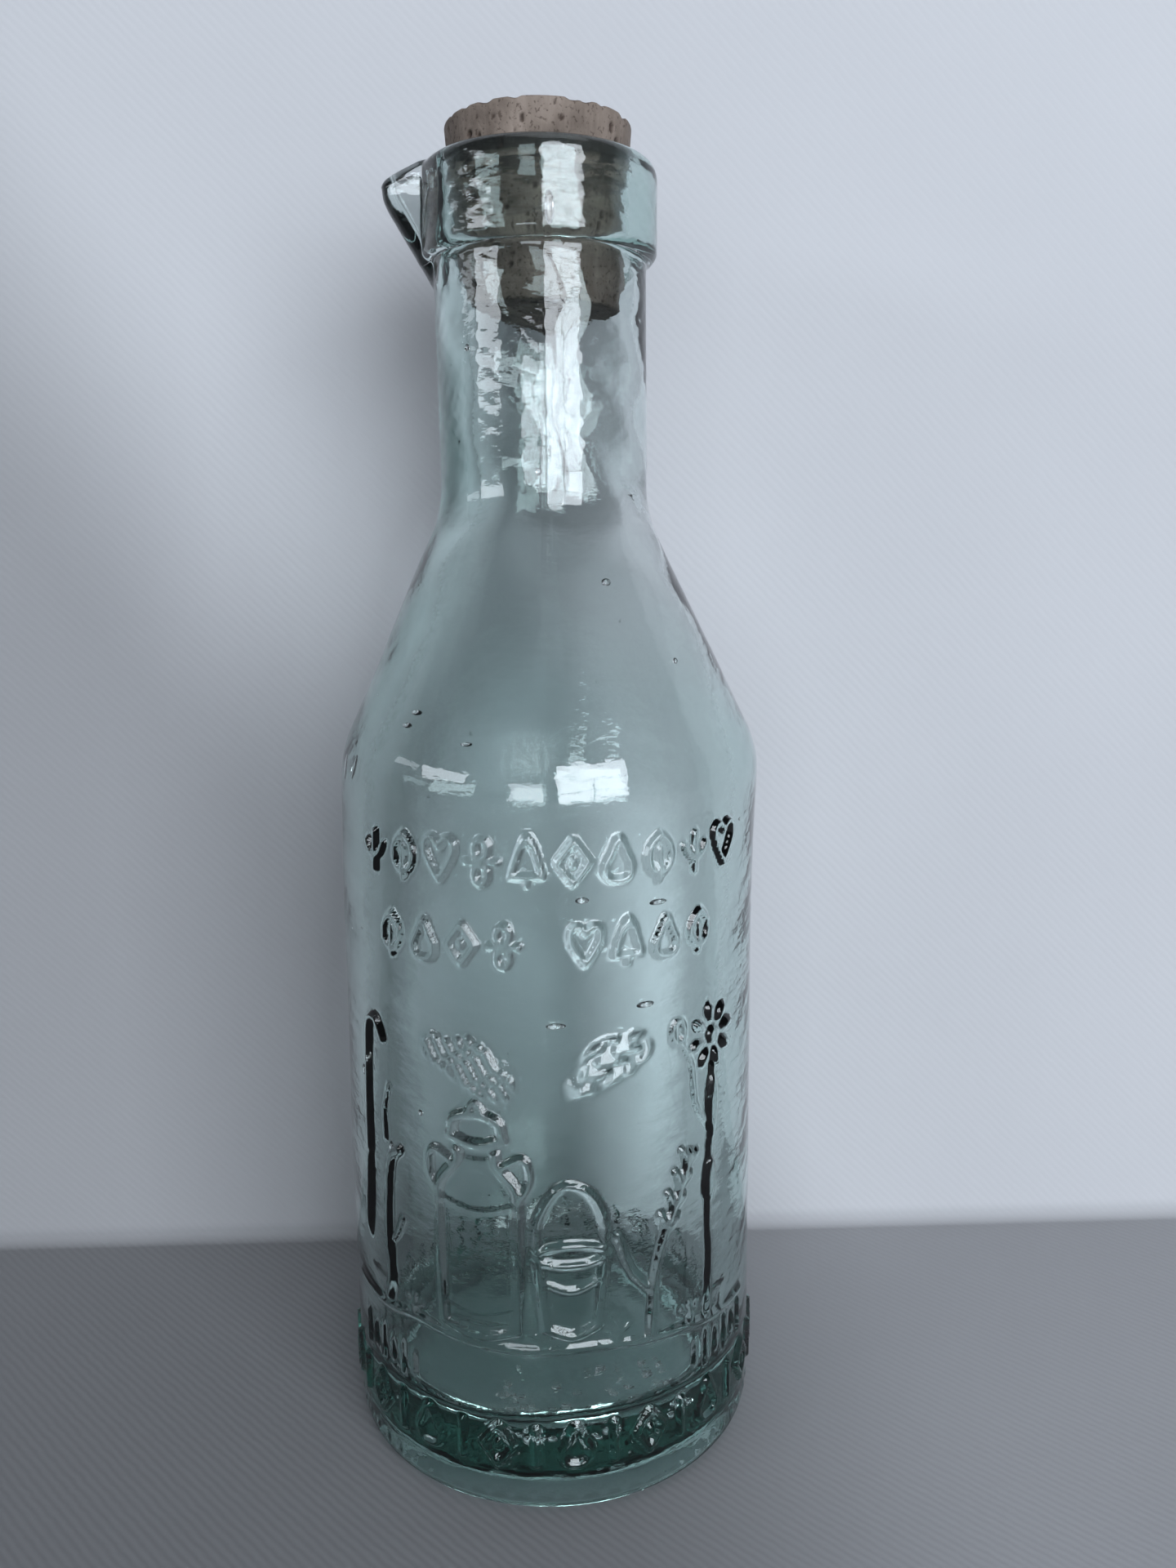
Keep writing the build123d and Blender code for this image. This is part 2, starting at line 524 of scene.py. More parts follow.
def raise_churn(relief):
    """A milk churn with its lid, handles and hoops."""
    middle = (-15.0, 0)
    side = [(3.9, 79), (4.2, 76.5), (7.4, 72.5), (8.2, 68), (8.0, 52), (7.6, 41.5)]
    right = curve(side) + middle
    left = curve(mirrored(side)) + middle
    relief.shape(np.vstack([right, left[::-1]]), 0.45, 2.2)
    relief.stroke(right)
    relief.stroke(left)
    lid = [(-5.2, 83), (-4.4, 85.6), (0, 87), (4.4, 85.6), (5.2, 83)]
    for line in ([(-5.6, 82), (0, 80.6), (5.6, 82)], lid, [(-7.6, 41.5), (0, 39.6), (7.6, 41.5)]):
        relief.stroke(curve(line) + middle)
    relief.stroke(curve([(-1.6, 87.4), (0, 89.4), (1.6, 87.4)]) + middle, 0.9)
    for up, half in ((68.5, 8.0), (47.0, 7.7)):
        relief.stroke(curve([(-half, up), (0, up - 1.8), (half, up)]) + middle, 0.9, 0.75)
    handle = [(5.4, 76.6), (9.4, 78.2), (10.6, 74), (8.6, 69.6)]
    for line in (handle, mirrored(handle)):
        relief.stroke(curve(line) + middle, 0.95, 0.9)


def raise_pail(relief):
    """A pail of staves with a swinging bail."""
    middle = (3.5, 0)
    relief.stroke(oval((3.5, 58), 6.6, 2.2), 0.95)
    for side in (-1, 1):
        relief.stroke(np.array([(6.6 * side, 57.6), (5.0 * side, 42.4)]) + middle)
    relief.stroke(curve([(-5.0, 42.4), (0, 40.6), (5.0, 42.4)]) + middle)
    relief.stroke(curve([(-6.0, 52.6), (0, 50.4), (6.0, 52.6)]) + middle, 0.85, 0.7)
    bail = [(-6.6, 58.6), (-6.2, 66), (-2.0, 72.4), (3.4, 71), (6.4, 65), (6.6, 58.6)]
    relief.stroke(curve(bail) + middle, 0.95, 0.9)


def raise_flower(relief):
    """A tall daisy at the right, with its stem and two thick leaves."""
    centre = (36.6, 97.5)
    petal = curve([(2.4, 0), (5.2, 1.5), (7.6, 0), (5.2, -1.5)], closed=True)
    for k in range(8):
        relief.shape(turned(petal, 45 * k + 12) + centre, 0.95, 0.9)
    relief.shape(oval(centre, 2.3, 2.3), 0.8, 1.0)
    relief.stroke(curve([(36.4, 91), (36.0, 80), (35.2, 64), (35.8, 50), (35.2, 37)]), 1.0, 0.8)
    upper_leaf = [(36.0, 90), (38.4, 86), (38.0, 79), (36.2, 74.6), (34.2, 79), (34.4, 86)]
    lower_leaf = [(35.6, 72.4), (37.6, 69), (37.2, 63.6), (35.4, 61), (33.4, 64), (33.8, 69.6)]
    for leaf in (upper_leaf, lower_leaf):
        relief.shape(curve(leaf, closed=True), 1.1, 1.1)
    relief.stroke(oval((26.6, 100.6), 1.5, 2.4, 14), 0.8, 0.8)
    relief.stroke(curve([(27.4, 98.0), (30.2, 92.6), (31.4, 84), (35.4, 78)]), 0.8, 0.55)


def raise_wheat(relief):
    """A leaning ear of wheat in front of the daisy."""
    stalk = [(29.6, 74.5), (27.0, 67), (23.4, 59), (20.8, 50), (19.8, 38)]
    relief.stroke(curve(stalk), 1.15, 0.95)
    for k in range(4):
        base = np.array([28.6 - 1.7 * k, 71.6 - 4.2 * k])
        for reach in ((2.8, 2.6), (-1.2, 4.0)):
            grain = [base, base + np.array(reach) * 0.6 + (0.3, 0), base + reach]
            relief.stroke(curve(grain), 0.95, 0.85)
    relief.stroke(curve([(20.2, 47), (15.6, 53), (12.8, 61)]), 0.9, 0.5)


def raise_all(across, up):
    """The height of every raised motif at the given places."""
    relief = Relief(across, up)
    raise_ornament_rows(relief)
    raise_heel(relief)
    raise_ground(relief)
    raise_reeds(relief)
    raise_cloud(relief, -15.5, 96.5, 1.0, -26, 5.0, -1.9)
    raise_cloud(relief, 12.0, 97.5, 0.9, 26, 5.0, 0.2)
    raise_churn(relief)
    raise_pail(relief)
    raise_flower(relief)
    raise_wheat(relief)
    return relief.height


# ---- the glass

outer_ripple = ripple_field(3, (1, 6), (30, 90), 12)
fine_ripple = ripple_field(4, (6, 36), (2.6, 9), 24)
inner_ripple = ripple_field(5, (1, 7), (16, 60), 12)
tool_ripple = ripple_field(6, (12, 40), (2.8, 6), 24)

OUTSIDE = [
    (0.0, PUSH_UP, 0, 3.0, "base"),
    (PUSH_UP_R, PUSH_UP - 0.3, 2.0, 0.6, "base"),
    (FOOT_IN_R, 0.0, 1.2, 0.5, "heel"),
    (SKIRT_R - 0.3, 0.0, 3.6, 0.6, "heel"),
    (SKIRT_R, 9.0, 3.0, 0.52, "heel"),
    (SKIRT_R, 24.0, 0, 0.8, "front"),
    (SKIRT_R, 36.0, 0, 0.56, "front"),
    (SKIRT_R, 60.0, 40, 0.56, "front"),
    (BODY_R - 0.1, 104.0, 40, 0.9, "front"),
    (BODY_R - 0.1, 115.0, 0, 0.52, "front"),
    (BODY_R - 0.1, 143.0, 0, 0.9, "front"),
    (BODY_R - 0.1, SHOULDER_Z, 24, 1.5, "shoulder"),
    (NECK_R, NECK_Z, 24, 0.8, "shoulder"),
    (NECK_R, BEAK_LOW_Z, 0, 0.7, "beak"),
    (NECK_R, COLLAR_Z, 0.8, 0.35, "beak"),
    (COLLAR_R, COLLAR_Z, 2.0, 0.7, "beak"),
    (COLLAR_R, RIM_Z - RIM_ROUND, 0, 0.7, "beak"),
]
INSIDE = [
    (MOUTH_R, RIM_Z - LIP_ROUND, 0, 0.7, "beak"),
    (BORE_TOP_R, BORE_TOP_Z, 3, 0.8, "beak"),
    (17.6, TROUGH_LOW_Z, 0, 1.8, "inner"),
    (BORE_LOW_R, BORE_LOW_Z, 34, 1.6, "inner"),
    (INNER_R, INNER_SHOULDER_Z, 20, 2.4, "inner"),
    (INNER_R, FLOOR_Z, 9, 1.8, "inner"),
    (0.0, FLOOR_Z + 0.8, 0, 2.0, "inner"),
]


def hull_reach(off_beak, root_r, nose_r, nose_x):
    """How far the beak's plan reaches, off_beak radians away from the beak's own direction."""
    nose_x = np.maximum(nose_x, root_r - nose_r + 0.3)
    leave = np.arccos((root_r - nose_r) / nose_x)
    touch = np.arctan2(nose_r * np.sin(leave), nose_x + nose_r * np.cos(leave))
    inside = np.maximum(nose_r**2 - (nose_x * np.sin(off_beak)) ** 2, 0)
    nose = nose_x * np.cos(off_beak) + np.sqrt(inside)
    flank = root_r / np.cos(np.minimum(np.abs(off_beak - leave), 1.5))
    reach = np.where(off_beak < touch, nose, flank)
    return np.where(off_beak > leave, root_r, reach)


def off_beak_angle(azimuths):
    """Radians between each azimuth and the beak's."""
    return np.radians(np.abs((azimuths - BEAK_AZ + 180) % 360 - 180))


def keel_reach(height):
    """How far the beak's keel reaches at a height."""
    return soft_min(TIP_R, TIP_R + KEEL_SLOPE * (height - KEEL_TOP_Z), 0.8)


def beak_reach(off_beak, height):
    """The radius of the beak's outer surface at a height."""
    return hull_reach(off_beak, ROOT_R, NOSE_R, keel_reach(height) - NOSE_R)


def trough_reach(off_beak, height):
    """The radius of the trough's surface at a height."""
    wall = LIP_WALL + (KEEL_WALL - LIP_WALL) * smooth((RIM_Z - 3 - height) / 6)
    nose_x = keel_reach(height) - wall - TROUGH_NOSE_R
    return hull_reach(off_beak, TROUGH_ROOT_R, TROUGH_NOSE_R, nose_x)


def top_reach(off_beak):
    """Radii of the outer and inner edges of the rim."""
    outer = beak_reach(off_beak, RIM_Z)
    inner = trough_reach(off_beak, RIM_Z)
    return soft_max(COLLAR_R, outer, 0.5), soft_max(MOUTH_R, inner, 0.3)


def rim_rounds(off_beak):
    """Radii of the rim's outer and inner rounded edges, smaller on the thin lip."""
    outer, inner = top_reach(off_beak)
    room = 0.46 * (outer - inner)
    return soft_min(RIM_ROUND, room, 0.2), soft_min(LIP_ROUND, room, 0.2)


def lip_drop(radius):
    """How far the rim has fallen at a radius beyond the collar."""
    return LIP_FALL * np.maximum(radius - COLLAR_R, 0)


def bore_shift(height):
    """The hollow's sideways offset, which makes the left wall thick and the right one thin."""
    heights = [0, 100, 150, 180, 206, 225, 245, 262]
    shifts = [-0.4, -0.6, 0.2, 1.9, 2.5, 1.9, 0.9, 0.0]
    return np.interp(height, heights, shifts)


def glass_lean(height):
    """How far the hand-finished glass wanders sideways from its own axis."""
    heights = [0, 60, 120, 150, 172, 192, 210, 250, 300]
    shifts = [0.2, 0.0, 0.1, 0.8, 0.75, 0.1, 0.3, 0.1, 0.0]
    return np.interp(height, heights, shifts)


def outside_place(azimuths, radius, height):
    """Where an outside row's points lie, before relief."""
    off_beak = off_beak_angle(azimuths)
    if height > BEAK_LOW_Z:
        top_r, _ = top_reach(off_beak)
        top_z = RIM_Z - lip_drop(top_r) - rim_rounds(off_beak)[0]
        share = (height - BEAK_LOW_Z) / (RIM_Z - RIM_ROUND - BEAK_LOW_Z)
        height = BEAK_LOW_Z + share * (top_z - BEAK_LOW_Z)
        beak = beak_reach(off_beak, height)
        radius = soft_max(radius, beak, 0.5 * smooth(share * 6))
    return radius + 0 * azimuths, height + 0 * azimuths


def outside_normal(rows, index):
    """The outline's outward normal at one of its rows."""
    before = rows[max(index - 1, 0)]
    after = rows[min(index + 1, len(rows) - 1)]
    run = unit(np.array([after[0] - before[0], after[1] - before[1]]))
    return run[1], -run[0]


def surface_play(azimuths, height):
    """The outside's small unevenness, less where the mould held it closely."""
    calm = 1.0 - 0.6 * smooth((height - 206) / 20)
    seam = np.abs((azimuths - 2 + 90) % 180 - 90) * np.radians(1) * NECK_R
    ridge = 0.12 * smooth(1 - seam / 0.7) * smooth((height - 150) / 50)
    wide = 0.055 * outer_ripple(azimuths, height) * calm
    fine = 0.014 * fine_ripple(azimuths, height)
    tooled = 0.022 * tool_ripple(azimuths, height) * smooth((height - 200) / 12)
    return wide + fine + tooled + ridge * (height < COLLAR_Z)


def add_outside(shell):
    """The underside, foot, body, shoulder, neck and the collar's outer face."""
    rows = trace(OUTSIDE)
    shell.add_pole(rows[0][1])
    places = []
    for index, (radius, height, ring) in enumerate(rows[1:], 1):
        azimuths = RINGS[ring]
        r, z = outside_place(azimuths, radius, height)
        places.append((azimuths, r, z, outside_normal(rows, index)))
    across = np.concatenate([azimuths * DEGREE for azimuths, *_ in places])
    up = np.concatenate([z for _, _, z, _ in places])
    motif = raise_all(across, up)
    first = 0
    for azimuths, r, z, (out, rise) in places:
        raised = motif[first : first + len(azimuths)] * (out > 0.5)
        first += len(azimuths)
        height = raised + surface_play(azimuths, z) * smooth((z - 3) / 6)
        limit = BAND_R - 0.03 - np.abs(glass_lean(z))
        r, z = np.minimum(r + height * out, limit), z + height * rise
        shell.add_ring(azimuths, r, z, glass_lean(z))


def add_rim(shell):
    """The rounded top of the rim and of the beak's lip."""
    azimuths = RINGS["beak"]
    off_beak = off_beak_angle(azimuths)
    outer, inner = top_reach(off_beak)
    outer_round, inner_round = rim_rounds(off_beak)
    edge, lip = outer - outer_round, inner + inner_round
    levels = []
    for turn in np.linspace(0, math.pi / 2, 8)[1:]:
        levels.append((edge + outer_round * math.cos(turn), outer_round * (1 - math.sin(turn))))
    for share in (0.33, 0.67):
        levels.append((edge * (1 - share) + lip * share, 0))
    for turn in np.linspace(math.pi / 2, 0, 6)[:-1]:
        levels.append((lip - inner_round * math.cos(turn), inner_round * (1 - math.sin(turn))))
    for radius, below in levels:
        shell.add_ring(azimuths, radius, RIM_Z - lip_drop(radius) - below)


def add_inside(shell):
    """The mouth, the beak's trough, the bore and the hollow of the body."""
    rows = trace(INSIDE)
    for radius, height, ring in rows[:-1]:
        azimuths = RINGS[ring]
        off_beak = off_beak_angle(azimuths)
        r, z = radius + 0 * azimuths, height + 0 * azimuths
        if height > TROUGH_LOW_Z:
            _, top_r = top_reach(off_beak)
            top_z = RIM_Z - lip_drop(top_r) - rim_rounds(off_beak)[1]
            share = (height - TROUGH_LOW_Z) / (RIM_Z - LIP_ROUND - TROUGH_LOW_Z)
            z = TROUGH_LOW_Z + share * (top_z - TROUGH_LOW_Z)
            r = soft_max(r, trough_reach(off_beak, z), 0.3)
        wall_play = 0.09 + 0.17 * smooth((height - 170) / 30) - 0.2 * smooth((height - 244) / 12)
        floor_play = smooth((height - FLOOR_Z) / 14)
        r = r + wall_play * floor_play * inner_ripple(azimuths, z)
        if height < 30:
            r = r * (1 - 0.008 * inner_ripple(azimuths + 40, 20.0))
            z = z + 0.5 * (1 - floor_play) * inner_ripple(azimuths, 3.0 * radius) * radius / INNER_R
        shell.add_ring(azimuths, r, z, bore_shift(height) + glass_lean(z))
    shell.add_pole(rows[-1][1], bore_shift(FLOOR_Z))


# Bubbles seen one by one: azimuth, height, depth under the surface, then the half sizes
# round, up and through the glass
PLACED_BUBBLES = [
    (4.5, 256.5, 2.2, 0.9, 2.99, 0.91),
    (-47, 233, 2, 0.6, 0.65, 0.52),
    (-5.5, 209, 1.8, 0.66, 0.715, 0.65),
    (24, 187.5, 2.2, 0.96, 0.78, 0.65),
    (46, 172, 2, 0.6, 0.65, 0.52),
    (-41, 163, 2.2, 1.44, 0.52, 0.65),
    (-43, 160.6, 2, 1.32, 0.52, 0.65),
    (-22, 158, 2.4, 1.2, 0.39, 0.52),
    (-73, 150.5, 2.6, 1.08, 2.99, 1.04),
    (8.5, 129.2, 2.6, 1.32, 0.65, 0.78),
    (29, 127.4, 2.4, 1.92, 0.585, 0.78),
    (1.8, 104.6, 2.6, 1.92, 0.585, 0.78),
    (25.5, 107.2, 2.4, 1.92, 0.65, 0.78),
    (-59, 91, 2.2, 0.72, 1.17, 0.65),
    (-61, 87.5, 2, 0.72, 1.17, 0.65),
    (-36, 84, 2.4, 0.6, 0.65, 0.52),
    (-47.5, 74, 2.4, 0.72, 1.3, 0.65),
]
WALL_SEEDS = 34
BASE_SEEDS = 40
FLOOR_SEEDS = 34


def outer_radius(height):
    """The plain outer radius at a height, for placing bubbles."""
    side = [row for row in trace(OUTSIDE) if row[0] > 20 and row[1] > 0.5]
    return np.interp(height, [row[1] for row in side], [row[0] for row in side])


def add_bubbles(shell):
    """The seeds in the glass: the large ones listed one by one, the small ones at random."""
    for azimuth, up, depth, across, tall, through in PLACED_BUBBLES:
        away = outer_radius(up) - depth
        shift = 0.5 * bore_shift(up)
        shell.add_bubble((azimuth, away, up, shift), (across, through, tall), 14, 10)
    for _ in range(WALL_SEEDS):
        azimuth, up = rng.uniform(-180, 180), rng.uniform(40, 235)
        size = rng.uniform(0.16, 0.34)
        away = outer_radius(up) - rng.uniform(1.2, 2.2)
        shell.add_bubble((azimuth, away, up, 0), (size * 1.4, size, size), 8, 5)
    for _ in range(FLOOR_SEEDS):
        azimuth, away = rng.uniform(-30, 55), rng.uniform(20, 36)
        size = rng.uniform(0.6, 1.3)
        up = rng.uniform(11.6, 12.8)
        shell.add_bubble((azimuth, away, up, 0), (size * 1.2, size, size * 0.7), 10, 7)
    for _ in range(BASE_SEEDS):
        azimuth, away = rng.uniform(-180, 180), 38.0 * math.sqrt(rng.uniform(0.05, 1))
        size = rng.uniform(0.2, 0.62)
        up = rng.uniform(6.5, 12.0)
        shell.add_bubble((azimuth, away, up, 0), (size, size, size * 0.7), 8, 6)


def collar_wear(tree, place):
    """Roughness of the fine marks that the rim tool left round the collar."""
    low, high = COLLAR_Z * MM, (COLLAR_Z + 1.5) * MM
    on_collar = ramp_along(tree, place, (0, 0, 1), (low, high), (0.0, 1.0))
    marks = noise(tree, place, 420, 5, (1, 1, 2.4))
    marks = colour_ramp(tree, marks, [(0.47, 0), (0.6, 0.13)])
    return mix_colour(tree, 1.0, marks, on_collar, "MULTIPLY")


def glass_material():
    """Pale green recycled glass, clear through a wall and deep green through the base."""
    material, tree, shader, place = new_material("recycled_glass")
    # Painted shade: the faint grey in the base colour darkens everything seen through the glass.
    shader.inputs["Base Color"].default_value = (0.955, 0.955, 0.955, 1)
    shader.inputs["Transmission Weight"].default_value = 1.0
    shader.inputs["IOR"].default_value = 1.52
    smear = noise(tree, place, 30, 5)
    ramp = colour_ramp(tree, smear, [(0.45, 0), (0.75, 0.035)])
    rough = mix_colour(tree, 1.0, ramp, collar_wear(tree, place), "LIGHTEN")
    tree.links.new(rough, shader.inputs["Roughness"])
    bump(tree, shader, noise(tree, place, 260, 3, (1, 1, 2.2)), 0.5, 0.0001)
    tint = {"Color": (0.233, 0.567, 0.511, 1), "Density": 45.0}
    tint = add_node(tree, "VolumeAbsorption", tint)
    tree.links.new(tint.outputs["Volume"], tree.nodes["Material Output"].inputs["Volume"])
    return material


def make_glass():
    """The whole glass piece, in the place of the CAD bottle."""
    shell = Shell()
    add_outside(shell)
    add_rim(shell)
    add_inside(shell)
    add_bubbles(shell)
    piece = shell.build("glass_bottle")
    piece.data.materials.append(glass_material())
    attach(piece, "bottle")
    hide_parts("bottle")


# ---- materials


def new_material(name):
    """A material with its node tree, its shader and the place on the object."""
    material = bpy.data.materials.new(name)
    material.use_nodes = True
    tree = material.node_tree
    place = tree.nodes.new("ShaderNodeTexCoord").outputs["Object"]
    return material, tree, tree.nodes["Principled BSDF"], place


def add_node(tree, kind, inputs, **settings):
    """A new node, whose inputs are plain values or other nodes' outputs."""
    node = tree.nodes.new("ShaderNode" + kind)
    for name, value in settings.items():
        setattr(node, name, value)
    for socket, value in inputs.items():
        if isinstance(value, bpy.types.NodeSocket):
            tree.links.new(value, node.inputs[socket])
        else:
            node.inputs[socket].default_value = value
    return node


def noise(tree, place, scale, detail, stretch=(1, 1, 1)):
    """The output of a noise texture, in features per metre."""
    place = add_node(tree, "Mapping", {"Vector": place, "Scale": stretch}).outputs[0]
    inputs = {"Vector": place, "Scale": scale, "Detail": detail}
    return add_node(tree, "TexNoise", inputs).outputs["Fac"]


def colour_ramp(tree, value, stops):
    """Colours looked up from a value; a stop may give a plain grey level instead of a colour."""
    ramp = add_node(tree, "ValToRGB", {"Fac": value})
    elements = ramp.color_ramp.elements
    while len(elements) < len(stops):
        elements.new(0.5)
    for element, (position, colour) in zip(elements, stops):
        element.position = position
        element.color = colour if isinstance(colour, tuple) else (colour, colour, colour, 1)
    return ramp.outputs["Color"]


def mix_colour(tree, factor, a, b, blend="MIX"):
    """Two colours mixed; factor may be a number or an output."""
    inputs = {0: factor, 6: a, 7: b}
    return add_node(tree, "Mix", inputs, data_type="RGBA", blend_type=blend).outputs[2]


def combine(tree, operation, a, b):
    """Two values combined by a Math node."""
    return add_node(tree, "Math", {0: a, 1: b}, operation=operation).outputs[0]


def rescale(tree, value, reach, levels, kind="SMOOTHSTEP"):
    """A value that runs between two levels as another runs between two ends."""
    inputs = {"Value": value, "From Min": reach[0], "From Max": reach[1]}
    inputs |= {"To Min": levels[0], "To Max": levels[1]}
    return add_node(tree, "MapRange", inputs, interpolation_type=kind).outputs["Result"]


def ramp_along(tree, place, direction, reach, levels, kind="SMOOTHSTEP"):
    """A value that runs between two levels along a direction, between two distances."""
    dot = add_node(tree, "VectorMath", {0: place, 1: direction}, operation="DOT_PRODUCT")
    return rescale(tree, dot.outputs["Value"], reach, levels, kind)


def soft_patch(tree, place, centre, radii, gain):
    """A factor that is gain inside an ellipsoid and fades to 1 at its surface."""
    inputs = {"Vector": place, "Location": centre, "Scale": radii}
    place = add_node(tree, "Mapping", inputs, vector_type="TEXTURE").outputs[0]
    length = add_node(tree, "VectorMath", {0: place}, operation="LENGTH")
    return rescale(tree, length.outputs["Value"], (0.6, 1.0), (gain, 1.0))


def bump(tree, shader, value, strength, distance):
    """Drives the shader's normal from a height."""
    node = add_node(tree, "Bump", {"Height": value, "Strength": strength, "Distance": distance})
    tree.links.new(node.outputs["Normal"], shader.inputs["Normal"])


# ---- the cork

CORK_EDGE = 0.5  # radius of the cork's two edges
CORK_PITS = 230
CORK_CHIPS = 26
STAIN_DEPTH = 14  # how far under the rim the stain begins


def cork_dents():
    """Pores and chips: centre, half sizes round, up and in, and depth."""
    dents = []
    for _ in range(CORK_PITS):
        azimuth = rng.uniform(-180, 180)
        up = rng.uniform(CORK_BOTTOM_Z + 0.6, CORK_TOP_Z - 0.6)
        small = rng.uniform(0.2, 0.55) if rng.uniform() < 0.85 else rng.uniform(0.6, 1.05)
        radius = CORK_BOTTOM_R + CORK_TAPER * (up - CORK_BOTTOM_Z)
        tall = small * rng.uniform(0.8, 1.9)
        dents.append((azimuth, radius, up, small, tall, small * rng.uniform(0.7, 1.3)))
    for _ in range(CORK_CHIPS):
        azimuth = rng.uniform(-180, 180)
        size = rng.uniform(0.4, 1.3)
        dents.append((azimuth, CORK_TOP_R, CORK_TOP_Z + 0.2, size * 1.3, size * 0.8, size * 0.6))
    for _ in range(CORK_PITS // 3):
        azimuth = rng.uniform(-180, 180)
        away = CORK_TOP_R * math.sqrt(rng.uniform(0, 0.95))
        up = CORK_TOP_Z if rng.uniform() < 0.6 else CORK_BOTTOM_Z
        size = rng.uniform(0.25, 0.9)
        dents.append((azimuth, away, up, size, size, size * 0.8))
    return dents


def cork_rings(azimuths):
    """Points and normals of the cork's rings before it is dented, from the bottom up."""
    corners = [
        (0.0, CORK_BOTTOM_Z, 0, 1.0, "cork"),
        (CORK_BOTTOM_R, CORK_BOTTOM_Z, CORK_EDGE, 0.3, "cork"),
        (CORK_TOP_R, CORK_TOP_Z, CORK_EDGE, 0.5, "cork"),
        (0.0, CORK_TOP_Z, 0, 1.0, "cork"),
    ]
    rows = trace(corners)
    angle = np.radians(azimuths)
    outward = np.column_stack([np.sin(angle), -np.cos(angle), 0 * angle])
    places, normals = [], []
    for index, (radius, height, _) in enumerate(rows[1:-1], 1):
        out, rise = outside_normal(rows, index)
        places.append(outward * radius + (0, 0, height))
        normals.append(outward * out + (0, 0, rise))
    return np.vstack(places), np.vstack(normals)


def dent_depths(places):
    """How deep the cork is dented at each place."""
    depth = np.zeros(len(places))
    for azimuth, away, up, across, tall, deep in cork_dents():
        around, upward, outward = glass_axes(azimuth)
        offset = places - (outward * away + upward * up)
        flat = np.hypot(offset @ around / across, offset @ upward / tall)
        flat = np.hypot(flat, offset @ outward / across)
        near = np.linalg.norm(offset, axis=1) < 4
        depth = np.maximum(depth, near * deep * smooth(1.25 - flat))
    return depth


def make_cork():
    """The cork plug, pitted and chipped, in the place of the CAD cork."""
    azimuths = RINGS["cork"]
    places, normals = cork_rings(azimuths)
    depth = dent_depths(places)
    places -= normals * depth[:, None]
    shell = Shell()
    shell.add_pole(CORK_BOTTOM_Z)
    for ring in np.split(places, len(places) // len(azimuths)):
        shell.add_loop(azimuths, ring)
    shell.add_pole(CORK_TOP_Z)
    piece = shell.build("cork_plug")
    pit = piece.data.attributes.new("pit", "FLOAT", "POINT")
    values = np.concatenate([[0], smooth(depth / 0.35), [0]]).astype(np.float32)
    pit.data.foreach_set("value", values)
    piece.data.materials.append(cork_material())
    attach(piece, "cork")
    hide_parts("cork_stopper")


def stain_and_painted_shade(tree, place):
    """How dark the cork is made: streaks of stain that thicken to a ring just under the rim, which is
    stain and painted shade of the gap between the cork and the glass.
    """
    low, high = (RIM_Z - STAIN_DEPTH) * MM, (RIM_Z + 0.1) * MM
    band = ramp_along(tree, place, (0, 0, 1), (low, high), (0, 1), "LINEAR")
    level = colour_ramp(tree, band, [(0.0, 0.2), (0.4, 0.55), (0.75, 1), (0.97, 1), (1.0, 0)])
    streaks = noise(tree, place, 150, 5, (1, 1, 3.2))
    streaks = colour_ramp(tree, streaks, [(0.44, 0), (0.52, 1)])
    streaks = mix_colour(tree, 1.0, level, streaks, "MULTIPLY")
    # Stain and painted shade: a nearly even dark ring just under the rim, in the gap between cork and
    # glass.
    ring = colour_ramp(tree, band, [(0.74, 0), (0.86, 0.95), (0.98, 0.95), (1.0, 0)])
    return mix_colour(tree, 1.0, streaks, ring, "LIGHTEN")


def cork_material():
    """Dry natural cork: mottled, finely streaked, with dark pores."""
    material, tree, shader, place = new_material("natural_cork")
    patches = noise(tree, place, 130, 4)
    stops = [(0.3, (0.115, 0.088, 0.072, 1)), (0.55, (0.185, 0.145, 0.12, 1))]
    base = colour_ramp(tree, patches, stops + [(0.75, (0.24, 0.19, 0.16, 1))])
    streak = noise(tree, place, 900, 3, (1, 1, 0.12))
    streak = colour_ramp(tree, streak, [(0.35, (0.72, 0.70, 0.68, 1)), (0.65, 1.0)])
    base = mix_colour(tree, 0.7, base, streak, "MULTIPLY")
    grain = noise(tree, place, 1500, 3)
    speck = colour_ramp(tree, grain, [(0.33, (0.35, 0.30, 0.27, 1)), (0.42, 1)])
    base = mix_colour(tree, 0.8, base, speck, "MULTIPLY")
    # The cork is darkened by its stain and by the painted shade just under the rim.
    base = mix_colour(tree, stain_and_painted_shade(tree, place), base, (0.03, 0.023, 0.018, 1))
    pit = add_node(tree, "Attribute", {}, attribute_name="pit")
    base = mix_colour(tree, pit.outputs["Fac"], base, (0.045, 0.028, 0.02, 1))
    tree.links.new(base, shader.inputs["Base Color"])
    rough = colour_ramp(tree, patches, [(0.3, 0.9), (0.7, 0.75)])
    tree.links.new(rough, shader.inputs["Roughness"])
    bump(tree, shader, grain, 0.6, 0.0002)
    return material


# ---- the stage

# In metres, degrees and, for the lens, millimetres
CAMERA_BACK = 0.2611
CAMERA_UP = 0.1909
CAMERA_DOWN = 10.25
CAMERA_RIGHT = 1.99
CAMERA_ROLL = -0.43
LENS = 27.66
WALL_Y = 0.062
SWEEP_R = 0.003  # the bend between the floor and the wall
REACH = 1.6  # the backdrop's half width, and the wall's height
SOFTBOX_AWAY = 2.0
LIT_POINT = Vector((0, 0, 0.17))  # what every softbox faces
